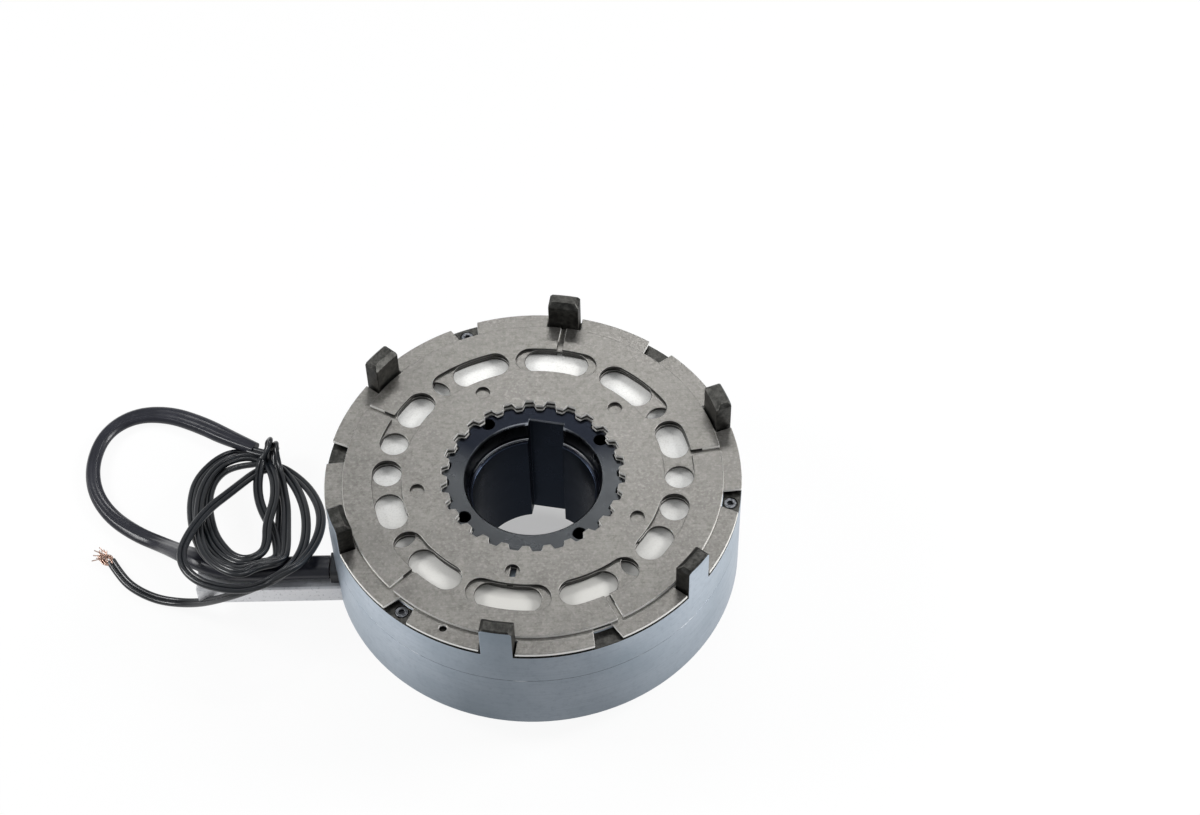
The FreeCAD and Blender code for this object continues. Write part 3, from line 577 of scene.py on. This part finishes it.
# cold-rolled steel sheet, lapped: warm grey, dull, with short strokes and stains; its cut edges are
# matt and pale with a painted highlight, and the walls of its holes carry painted shade
discFinish = {
    "tones": ("#757370", "#999792"),
    "cloud": {"Scale": fineness(16), "Detail": 5.0, "Roughness": 0.62},
    "strokes": ((12, 0.5, 26), (74, 0.45, 18), (-38, 0.55, 22)),   # turn, width, length
    "stroke": ("#666460", (0.56, 0.72), (0.0, 0.22)),              # colour, reach and share
    "strokeRelief": {"Strength": 0.12, "Distance": 0.0002},
    "grain": {"Scale": fineness(1.3), "Detail": 2.0},
    "fleck": ("#A5A39E", (0.5, 0.66), (0.0, 0.35)),
    "grainRelief": {"Strength": 0.1, "Distance": 0.0002},
    "stains": {"Scale": fineness(1.7), "Detail": 5.0, "Roughness": 0.7},
    "stain": ("#625F5A", (0.47, 0.68), (0.0, 0.55)),
    # pale matt cut steel and painted highlight together: the broken edges and outer walls are drawn
    # near white
    "cut": "#F6F5F1",
    "cutSteepness": (0.97, 0.55),   # how level a face is where this starts and is full
    "cutMetallic": (1.0, 0.25),
    "wall": "#262522",              # painted shade on the walls of the holes, which lie in shadow in a pack of discs
    "wallFacing": (-0.97, 0.5),     # from nearly down to half up
    "slots": (0.047, 0.0765),       # radii of the holes, in metres
    "roughness": (0.38, 0.5),
}


def discMaterial(setup, name, shift):
    # the shift keeps two discs from showing the same clouds
    material, tree, shader = newMaterial(name)
    axis = aroundAxis(tree)
    spot = addNode(tree, "ShaderNodeMapping",
                   {"Vector": axis["place"], "Location": (shift, shift * 0.7, 0.0)}).outputs["Vector"]
    cloud, grain, stains = [
        addNode(tree, "ShaderNodeTexNoise", {"Vector": spot, **setup[kind]}).outputs["Fac"]
        for kind in ("cloud", "grain", "stains")]
    lapping = [strokes(tree, spot, *stroke) for stroke in setup["strokes"]]
    up, level = facings(tree)
    cut = overlap(tree, (level, setup["cutSteepness"], whole))
    dark, light = setup["tones"]
    tone = layColours(
        tree, dark, (light, (cloud, noiseReach, whole)),
        *(patternLayer(stroke, setup["stroke"]) for stroke in lapping),
        patternLayer(grain, setup["fleck"]), patternLayer(stains, setup["stain"]),
        (setup["cut"], cut),
        (setup["wall"], between(tree, up, *setup["wallFacing"]),
         between(tree, axis["radius"], *setup["slots"])))
    dressShader(tree, shader, tone, (cloud, noiseReach, setup["roughness"]),
                [(lapping[0], setup["strokeRelief"]), (grain, setup["grainRelief"])], {})
    tree.links.new(overlap(tree, (cut, whole, setup["cutMetallic"])), shader.inputs["Metallic"])
    return material


# turned and ground carbon steel: blue-grey, satin, fine lines round the part, flecked
bodyFinish = {
    "tones": ("#ABB8C4", "#C5CFDA"),
    "cloud": {"Scale": fineness(38), "Detail": 4.0},
    "lines": (0.7, 50),             # millimetres apart, degrees long
    "line": ("#9AA7B4", (0.45, 0.7), (0.0, 0.22)),
    "lineRelief": {"Strength": 0.05, "Distance": 0.0002},
    "flecks": {"Scale": fineness(2.6), "Detail": 5.0, "Roughness": 0.7},
    "fleck": ("#9AA7B4", (0.5, 0.7), (0.0, 0.4)),
    "seam": (0.0473, 0.0477),       # heights of the joint between body and ring, in metres
    "groove": "#565B63",
    "grooveShare": 0.6,
    # painted glints: spots of the seam drawn white and less metallic, so that they shine
    "glint": "#FFFFFF",
    "glints": {"Scale": fineness(11), "Detail": 3.0},
    "glintReach": (0.54, 0.64),
    "glintMetallic": (1.0, 0.3),
    "roughness": (0.36, 0.48),
}


def bareSteel(setup, tree, shader, axis, lines):
    # cloudy tone with fine lines, and the seam between body and ring: a dark joint with painted glints
    # here and there
    cloud, flecks, glints = [
        addNode(tree, "ShaderNodeTexNoise", {"Vector": axis["place"], **setup[kind]}).outputs["Fac"]
        for kind in ("cloud", "flecks", "glints")]
    seam = between(tree, axis["height"], *setup["seam"])
    glinting = (glints, setup["glintReach"], whole)
    glint = overlap(tree, seam, glinting)
    tree.links.new(overlap(tree, (glint, whole, setup["glintMetallic"])), shader.inputs["Metallic"])
    dark, light = setup["tones"]
    return layColours(
        tree, dark, (light, (cloud, noiseReach, whole)),
        patternLayer(lines, setup["line"]), patternLayer(flecks, setup["fleck"]),
        (layColours(tree, setup["groove"], (setup["glint"], glinting)), seam, setup["grooveShare"]))


def bodyMaterial(setup):
    material, tree, shader = newMaterial("groundCarbonSteel")
    axis = aroundAxis(tree)
    lines = turningMarks(tree, axis, *setup["lines"])
    tone = bareSteel(setup, tree, shader, axis, lines)
    dressShader(tree, shader, tone, (lines, noiseReach, setup["roughness"]),
                [(lines, setup["lineRelief"])], {})
    return material


# the same ground steel, with painted shade: all but its outside rim is drawn dark, for the shade on
# the tops and inner faces of the fingers
ringFinish = {
    "tones": ("#353533", "#5E5D5A"),
    "toneReach": (0.4, 0.75),
    "wear": {"Scale": fineness(2.4), "Detail": 4.0, "Roughness": 0.65},
    "relief": {"Strength": 0.18, "Distance": 0.0003},
    "rim": (0.09238, 1.0),          # radii of the outside, which keeps the ground tone, in metres
}


def fingerRingMaterial(setup):
    material, tree, shader = newMaterial("groundSteelRingPaintedShade")
    axis = aroundAxis(tree)
    lines = turningMarks(tree, axis, *bodyFinish["lines"])
    bare = bareSteel(bodyFinish, tree, shader, axis, lines)
    wear = addNode(tree, "ShaderNodeTexNoise",
                   {"Vector": axis["place"], **setup["wear"]}).outputs["Fac"]
    dark, light = setup["tones"]
    tone = layColours(tree, dark, (light, (wear, setup["toneReach"], whole)),
                      (bare, between(tree, axis["radius"], *setup["rim"])))
    dressShader(tree, shader, tone, (wear, noiseReach, bodyFinish["roughness"]),
                [(wear, setup["relief"])], {})
    return material


# hub: alloy steel, black oxide, oiled: deep blue-black, with a painted reflection that turns the face
# grey towards the front
hubFinish = {
    "tones": ("#0F1116", "#1B1E25"),
    "cloud": {"Scale": fineness(9), "Detail": 5.0, "Roughness": 0.6},
    "lines": (0.5, 70),
    "relief": {"Strength": 0.1, "Distance": 0.0002},
    "roughness": (0.24, 0.38),
    "inside": "#363F4E",            # painted light: the bore and the walls of the keyway are drawn lighter and bluer
    # painted reflection: the face grey at the front, fading to black towards the back
    "faceSheen": ("#37393B", "#3F4143"),
    # painted highlights on the ledge and the lip of the bore
    "glint": "#E2E5EA",
    "worn": "#74787E",
    "lip": "#C6CBD3",
    # heights and radii in metres
    "face": (0.0672, 1.0),
    "brokenEdge": (0.0666, 1.0),
    "ledge": (0.0570, 0.0581),
    "belowLedge": (0.0, 0.0570),
    "bore": (0.0, 0.0278),
    "key": (0.0303, 0.0331),
    "keySides": (0.0270, 0.0331),
    "ledgeRings": ((0.0274, 0.0281), (0.0287, 0.0293)),
    "lipRadii": (0.0298, 0.0338),
    # how far to the back, from -1 to 1, the painted reflection and highlights start and are full
    "faceSheenReach": (0.55, 0.0),
    "glintReach": (0.35, 0.8),
    "lipReach": (0.8, 0.95),
    # how level a face is, from 1 to 0, where they start and are full
    "keySteepness": (0.3, 0.1),
    "wornSteepness": (0.97, 0.45),
    "lipSteepness": (0.97, 0.85),
    "wornShare": (0.3, 1.0),
}


def hubMaterial(setup):
    material, tree, shader = newMaterial("oiledBlackOxideSteel")
    axis = aroundAxis(tree)
    lines = turningMarks(tree, axis, *setup["lines"])
    cloud = addNode(tree, "ShaderNodeTexNoise",
                    {"Vector": axis["place"], **setup["cloud"]}).outputs["Fac"]
    back = addNode(tree, "ShaderNodeSeparateXYZ", {"Vector": axis["way"]}).outputs["Y"]
    level = facings(tree)[1]
    heights = {kind: between(tree, axis["height"], *setup[kind])
               for kind in ("face", "brokenEdge", "ledge", "belowLedge")}
    radii = {kind: between(tree, axis["radius"], *setup[kind])
             for kind in ("bore", "key", "keySides", "lipRadii")}
    # the walls of the keyway get the same painted light as the bore
    key = addNode(tree, "ShaderNodeMath",
                  {0: overlap(tree, heights["belowLedge"], radii["keySides"]), 1: radii["key"]},
                  operation="MAXIMUM").outputs["Value"]
    inside = addNode(tree, "ShaderNodeMath",
                     {0: radii["bore"], 1: overlap(tree, (level, setup["keySteepness"], whole), key)},
                     operation="MAXIMUM").outputs["Value"]
    clouded = (cloud, noiseReach, whole)
    dark, light = setup["tones"]
    faceDark, faceLight = setup["faceSheen"]
    # then two thin rings of painted highlight on the ledge, the worn corners, and a painted highlight
    # on the lip of the bore near the key
    tone = layColours(
        tree, dark, (light, clouded), (setup["inside"], inside),
        (layColours(tree, faceDark, (faceLight, clouded)), heights["face"],
         (back, setup["faceSheenReach"], whole)),
        *((setup["glint"], heights["ledge"], (back, setup["glintReach"], whole),
           between(tree, axis["radius"], *ring)) for ring in setup["ledgeRings"]),
        (setup["worn"], (level, setup["wornSteepness"], whole), heights["brokenEdge"],
         (cloud, noiseReach, setup["wornShare"])),
        (setup["lip"], (level, setup["lipSteepness"], whole), heights["brokenEdge"], radii["lipRadii"],
         (back, setup["lipReach"], whole)))
    dressShader(tree, shader, tone, (cloud, noiseReach, setup["roughness"]),
                [(lines, setup["relief"])], {"Metallic": 1.0})
    return material


# epoxy potting, poured: off-white, dull, with a faint grit of filler
pottingFinish = {
    "tones": ("#F7F6F2", "#FFFFFC"),
    "flow": {"Scale": fineness(14), "Detail": 3.0},
    "front": ("#C9C7C1", (-0.1, -1.0), (0.0, 0.8)),   # painted shade: greyer towards the front
    "grit": {"Scale": fineness(0.8), "Detail": 3.0},  # coarser than the real filler, so that it shows
    "filler": ("#D3D1CB", (0.48, 0.72), (0.0, 0.4)),
    "relief": {"Strength": 0.25, "Distance": 0.0003},
    "roughness": (0.55, 0.75),
}


def pottingMaterial(setup):
    material, tree, shader = newMaterial("whiteEpoxyPotting")
    axis = aroundAxis(tree)
    flow, grit = [
        addNode(tree, "ShaderNodeTexNoise", {"Vector": axis["place"], **setup[kind]}).outputs["Fac"]
        for kind in ("flow", "grit")]
    back = addNode(tree, "ShaderNodeSeparateXYZ", {"Vector": axis["way"]}).outputs["Y"]
    dark, light = setup["tones"]
    tone = layColours(tree, dark, (light, (flow, noiseReach, whole)),
                      patternLayer(back, setup["front"]), patternLayer(grit, setup["filler"]))
    dressShader(tree, shader, tone, (grit, noiseReach, setup["roughness"]),
                [(grit, setup["relief"])], {"IOR": 1.55})
    return material


# cold-drawn steel bar: light grey, dull, pitted; painted light makes its walls lighter than its top
armFinish = {
    "tones": ("#B9BABD", "#D0D1D3"),
    "cloud": {"Scale": fineness(12), "Detail": 3.0},
    "drawn": (0, 0.6, 30),          # turn, width and length of the draw marks
    "mark": ("#6D6F73", (0.5, 0.75), (0.0, 0.3)),
    # painted light on the walls of the bar
    "wall": ("#E8E8EA", (0.9, 0.4), whole),
    "pits": {"Scale": fineness(1.6), "Detail": 5.0, "Roughness": 0.7},
    "pit": ("#6C6D70", (0.56, 0.72), (0.0, 0.55)),
    "relief": {"Strength": 0.4, "Distance": 0.0005},
    "roughness": (0.4, 0.62),
}


def armMaterial(setup):
    material, tree, shader = newMaterial("coldDrawnSteelBar")
    place = addNode(tree, "ShaderNodeTexCoord", {}).outputs["Object"]
    cloud, pits = [
        addNode(tree, "ShaderNodeTexNoise", {"Vector": place, **setup[kind]}).outputs["Fac"]
        for kind in ("cloud", "pits")]
    dark, light = setup["tones"]
    tone = layColours(tree, dark, (light, (cloud, noiseReach, whole)),
                      patternLayer(strokes(tree, place, *setup["drawn"]), setup["mark"]),
                      patternLayer(facings(tree)[1], setup["wall"]), patternLayer(pits, setup["pit"]))
    dressShader(tree, shader, tone, (pits, noiseReach, setup["roughness"]),
                [(pits, setup["relief"])], {"Metallic": 0.4})
    return material


# bearing steel, ground and polished: bright and cool, with hair lines round the race
bearingFinish = {
    "name": "polishedBearingSteel",
    "lines": (0.4, 90),
    "tones": ("#9DA1A6", "#C3C6CA"),
    "roughness": (0.14, 0.26),
    "relief": {"Strength": 0.05, "Distance": 0.0001},
    "even": {"Metallic": 1.0},
}

# machined brass: yellow, satin, slightly dulled
brassFinish = {
    "name": "machinedBrass",
    "lines": (0.5, 60),
    "tones": ("#A88746", "#CDAE6C"),
    "roughness": (0.25, 0.4),
    "even": {"Metallic": 1.0},
}

# enamelled copper wire, wound: red-brown gloss, a line for every second turn of the 0.8 mm wire
windingFinish = {
    "name": "enamelledCopperWinding",
    "texture": "ShaderNodeTexWave",
    "settings": {"bands_direction": "Z", "wave_profile": "SIN"},
    "grain": {"Scale": fineness(1.58) * math.pi / 10, "Distortion": 0.4},   # a wave is pi / 10 long
    "tones": ("#5E2C1C", "#B0603C"),
    "roughness": (0.22, 0.35),
    "relief": {"Strength": 0.6, "Distance": 0.0004},
    "even": {"Metallic": 0.85},
}

# glass-filled nylon, moulded: cream, dull, lightly flecked
bobbinFinish = {
    "name": "glassFilledNylon",
    "grain": {"Scale": fineness(0.7), "Detail": 2.0},   # coarser than real fibres, so that it shows
    "tones": ("#D6CFBC", "#E6E1D2"),
    "roughness": (0.5, 0.65),
    "even": {"IOR": 1.53},
}

# nitrile rubber, moulded: black, dull, with a soft bloom
rubberFinish = {
    "name": "blackNitrileRubber",
    "grain": {"Scale": fineness(2.5), "Detail": 4.0},
    "tones": ("#111214", "#222327"),
    "roughness": (0.42, 0.6),
    "relief": {"Strength": 0.15, "Distance": 0.0003},
    "even": {"IOR": 1.52},
}

# arm screws and spring rings, black phosphate: matt, near black, grey in worn spots
phosphateFinish = {
    "name": "blackPhosphateSteel",
    "grain": {"Scale": fineness(1.1), "Detail": 4.0, "Roughness": 0.65},
    "tones": ("#2F3134", "#6B6D70"),
    "toneReach": (0.4, 0.8),
    "roughness": (0.4, 0.55),
    "even": {"Metallic": 1.0},
}

# socket screws of the ring, phosphated and worn: dark grey with lighter spots of bare steel
screwFinish = {
    "name": "wornScrewSteel",
    "grain": {"Scale": fineness(1.4), "Detail": 4.0, "Roughness": 0.6},
    "tones": ("#3C3E41", "#86888C"),
    "toneReach": (0.35, 0.65),
    "roughness": (0.36, 0.5),
    "even": {"Metallic": 1.0},
}

finishes = {
    "disc": discMaterial(discFinish, "lappedSteelSheet", 0.0),
    "discOther": discMaterial(discFinish, "lappedSteelSheetOther", 0.37),
    "body": bodyMaterial(bodyFinish),
    "ring": fingerRingMaterial(ringFinish),
    "hub": hubMaterial(hubFinish),
    "potting": pottingMaterial(pottingFinish),
    "arm": armMaterial(armFinish),
    "bearing": plainMaterial(bearingFinish),
    "brass": plainMaterial(brassFinish),
    "winding": plainMaterial(windingFinish),
    "bobbin": plainMaterial(bobbinFinish),
    "rubber": plainMaterial(rubberFinish),
    "phosphate": plainMaterial(phosphateFinish),
    "screw": plainMaterial(screwFinish),
}
print("finishes made: %d" % len(finishes))


# metal parts: the CAD shapes with their edges broken

edgeBreaks = {  # node: piece name, slot, body, finish, edge width in millimetres
    "magnet_body": ("magnetBody", "ground_steel", "magnet", "body", 0.35),
    "finger_ring": ("fingerRing", "ground_steel", "magnet", "ring", 0.35),
    "torque_arm": ("torqueArm", "bare_steel", "magnet", "arm", 0.5),
    "hub": ("toothedHub", "black_steel", "hub", "hub", 0.25),
    "inner_disc_lower": ("lowerInnerDisc", "lapped_steel", "lower_disc", "discOther", 0.3),
    "outer_disc": ("outerDisc", "lapped_steel", "outer_disc", "discOther", 0.3),
    "inner_disc_upper": ("upperInnerDisc", "lapped_steel", "upper_disc", "disc", 0.3),
    "ring_screws": ("ringScrews", "black_steel", "magnet", "screw", 0.15),
    "cable_grommet": ("cableGrommet", "black_rubber", "magnet", "rubber", 0.3),
}

# degrees: a bend under "flat" is none, up to "curved" it is shaded smooth, from "broken" it is an edge
edgeRules = {"weld": 0.000002, "flat": 1, "curved": 44, "broken": 46, "steps": 2, "flatWeight": 80}


def breakEdges(node, name, slot, body, finish, width):
    bm = bmesh.new()
    bm.from_mesh(nodes[node].data)
    bmesh.ops.remove_doubles(bm, verts=bm.verts, dist=edgeRules["weld"])
    for face in bm.faces:
        # planes stay flat, curved walls are shaded smooth
        bends = [math.degrees(edge.calc_face_angle(0.0)) for edge in face.edges]
        face.smooth = any(edgeRules["flat"] < bend < edgeRules["curved"] for bend in bends)
    mesh = bpy.data.meshes.new(name)
    bm.to_mesh(mesh)
    bm.free()
    piece = pieceFromMesh(name, mesh, finishes[finish], slot, body, node)
    bevel = piece.modifiers.new("brokenEdges", "BEVEL")
    bevel.width = width * mm
    bevel.segments = edgeRules["steps"]
    bevel.limit_method = "ANGLE"
    bevel.angle_limit = math.radians(edgeRules["broken"])
    bevel.use_clamp_overlap = False
    bevel.loop_slide = False
    even = piece.modifiers.new("evenFaces", "WEIGHTED_NORMAL")
    even.weight = edgeRules["flatWeight"]
    even.keep_sharp = True


for node, (name, slot, body, finish, width) in edgeBreaks.items():
    breakEdges(node, name, slot, body, finish, width)
print("edges broken on %d parts" % len(edgeBreaks))

keptFinishes = {
    "coil_bobbin": "bobbin", "coil_winding": "winding", "coil_potting": "potting",
    "bearing_inner_race": "bearing", "bearing_outer_race": "bearing",
    "bearing_shield_upper": "bearing", "bearing_shield_lower": "bearing",
    "bearing_balls": "bearing", "bearing_cage": "brass",
    "body_retaining_ring": "phosphate", "hub_retaining_ring": "phosphate",
    "arm_screws": "phosphate",
}
for node, finish in keptFinishes.items():
    nodes[node].data.materials.clear()
    nodes[node].data.materials.append(finishes[finish])


# floor, world and lamps

stageSetup = {
    "white": "#FFFFFF",
    "paper": "#F6F6F6",
    "paperRoughness": 0.9,
    "floorSize": 3.0,
    "plainWhite": (0.4, 0.92),   # share of the floor that is plain white, under the bore and outside: less under the bore, painted shade
    "boreReach": (0.026, 0.06),  # metres from the bore axis between which that changes
    "mirrored": (0.3, 1.0),      # how light metal sees the floor, near the middle line and beside it: painted shade in what it mirrors in front
    "darkReach": (0.04, 0.13),   # metres from the middle line between which that changes
    "sky": "#F6F8FB",
    "skyStrength": 0.4,
}


def addFloor(setup):
    bm = bmesh.new()
    bmesh.ops.create_grid(bm, x_segments=8, y_segments=8, size=setup["floorSize"])
    mesh = bpy.data.meshes.new("paleFloor")
    bm.to_mesh(mesh)
    bm.free()
    floor = bpy.data.objects.new("paleFloor", mesh)
    bpy.context.scene.collection.objects.link(floor)
    material, tree, shader = newMaterial("whitePaper")
    shader.inputs["Base Color"].default_value = hexColour(setup["paper"])
    shader.inputs["Roughness"].default_value = setup["paperRoughness"]
    shader.inputs["Specular IOR Level"].default_value = 0.0
    rays = addNode(tree, "ShaderNodeLightPath", {})
    seen = addNode(tree, "ShaderNodeMath",
                   {0: rays.outputs["Is Camera Ray"], 1: rays.outputs["Is Transmission Ray"]},
                   operation="MAXIMUM").outputs["Value"]
    place = addNode(tree, "ShaderNodeTexCoord", {}).outputs["Object"]
    across = addNode(tree, "ShaderNodeSeparateXYZ", {"Vector": place}).outputs["X"]
    aside = addNode(tree, "ShaderNodeMath", {0: across}, operation="ABSOLUTE").outputs["Value"]
    away = addNode(tree, "ShaderNodeVectorMath", {0: place}, operation="LENGTH").outputs["Value"]
    glossy = rays.outputs["Is Glossy Ray"]
    mirrored = overlap(tree, glossy, (aside, setup["darkReach"], setup["mirrored"]))
    strength = addNode(tree, "ShaderNodeMath", {0: seen, 1: mirrored}, operation="MAXIMUM")
    white = addNode(tree, "ShaderNodeEmission",
                    {"Color": hexColour(setup["white"]), "Strength": strength.outputs["Value"]})
    direct = addNode(tree, "ShaderNodeMath", {0: seen, 1: glossy}, operation="MAXIMUM")
    share = overlap(tree, direct.outputs["Value"],
                    (away, setup["boreReach"], setup["plainWhite"]))
    mixed = addNode(tree, "ShaderNodeMixShader", {"Fac": share})
    tree.links.new(shader.outputs["BSDF"], mixed.inputs[1])
    tree.links.new(white.outputs["Emission"], mixed.inputs[2])
    out = next(node for node in tree.nodes if node.type == "OUTPUT_MATERIAL")
    tree.links.new(mixed.outputs["Shader"], out.inputs["Surface"])
    mesh.materials.append(material)


def addWorld(setup):
    world = bpy.data.worlds.new("whiteRoom")
    bpy.context.scene.world = world
    world.use_nodes = True
    tree = world.node_tree
    tree.nodes.clear()
    rays = addNode(tree, "ShaderNodeLightPath", {})
    seen = addNode(tree, "ShaderNodeMath",
                   {0: rays.outputs["Is Camera Ray"], 1: rays.outputs["Is Transmission Ray"]},
                   operation="MAXIMUM")
    soft = addNode(tree, "ShaderNodeBackground",
                   {"Color": hexColour(setup["sky"]), "Strength": setup["skyStrength"]})
    white = addNode(tree, "ShaderNodeBackground",
                    {"Color": hexColour(setup["white"]), "Strength": 1.0})
    mixed = addNode(tree, "ShaderNodeMixShader", {"Fac": seen.outputs["Value"]})
    tree.links.new(soft.outputs["Background"], mixed.inputs[1])
    tree.links.new(white.outputs["Background"], mixed.inputs[2])
    out = tree.nodes.new("ShaderNodeOutputWorld")
    tree.links.new(mixed.outputs["Shader"], out.inputs["Surface"])


lamps = {  # name: place, aim, size in metres, power in watts
    "overheadSoftbox": ((0.05, 0.9, 1.15), (0.0, 0.0, 0.05), (0.5, 0.14), 3.0),
    "leftSoftbox": ((-0.75, 0.1, 0.6), (-0.1, 0.0, 0.03), (0.3, 0.3), 4.0),
    "rightSoftbox": ((0.75, 0.1, 0.6), (0.08, 0.0, 0.03), (0.3, 0.3), 5.4),
    "frontSoftbox": ((0.1, -0.75, 1.2), (0.0, 0.0, 0.03), (0.25, 0.25), 0.5),
}


def addLamp(name, place, aim, size, watts):
    data = bpy.data.lights.new(name, "AREA")
    data.shape = "RECTANGLE"
    data.size, data.size_y = size
    data.energy = watts
    lamp = bpy.data.objects.new(name, data)
    way = Vector(aim) - Vector(place)
    lamp.matrix_world = Matrix.Translation(place) @ way.to_track_quat("-Z", "Y").to_matrix().to_4x4()
    bpy.context.scene.collection.objects.link(lamp)


addFloor(stageSetup)
addWorld(stageSetup)
for name, setup in lamps.items():
    addLamp(name, *setup)
print("floor, world and lamps set")

scene = bpy.context.scene
scene.view_settings.view_transform = "Standard"

bpy.context.view_layer.update()
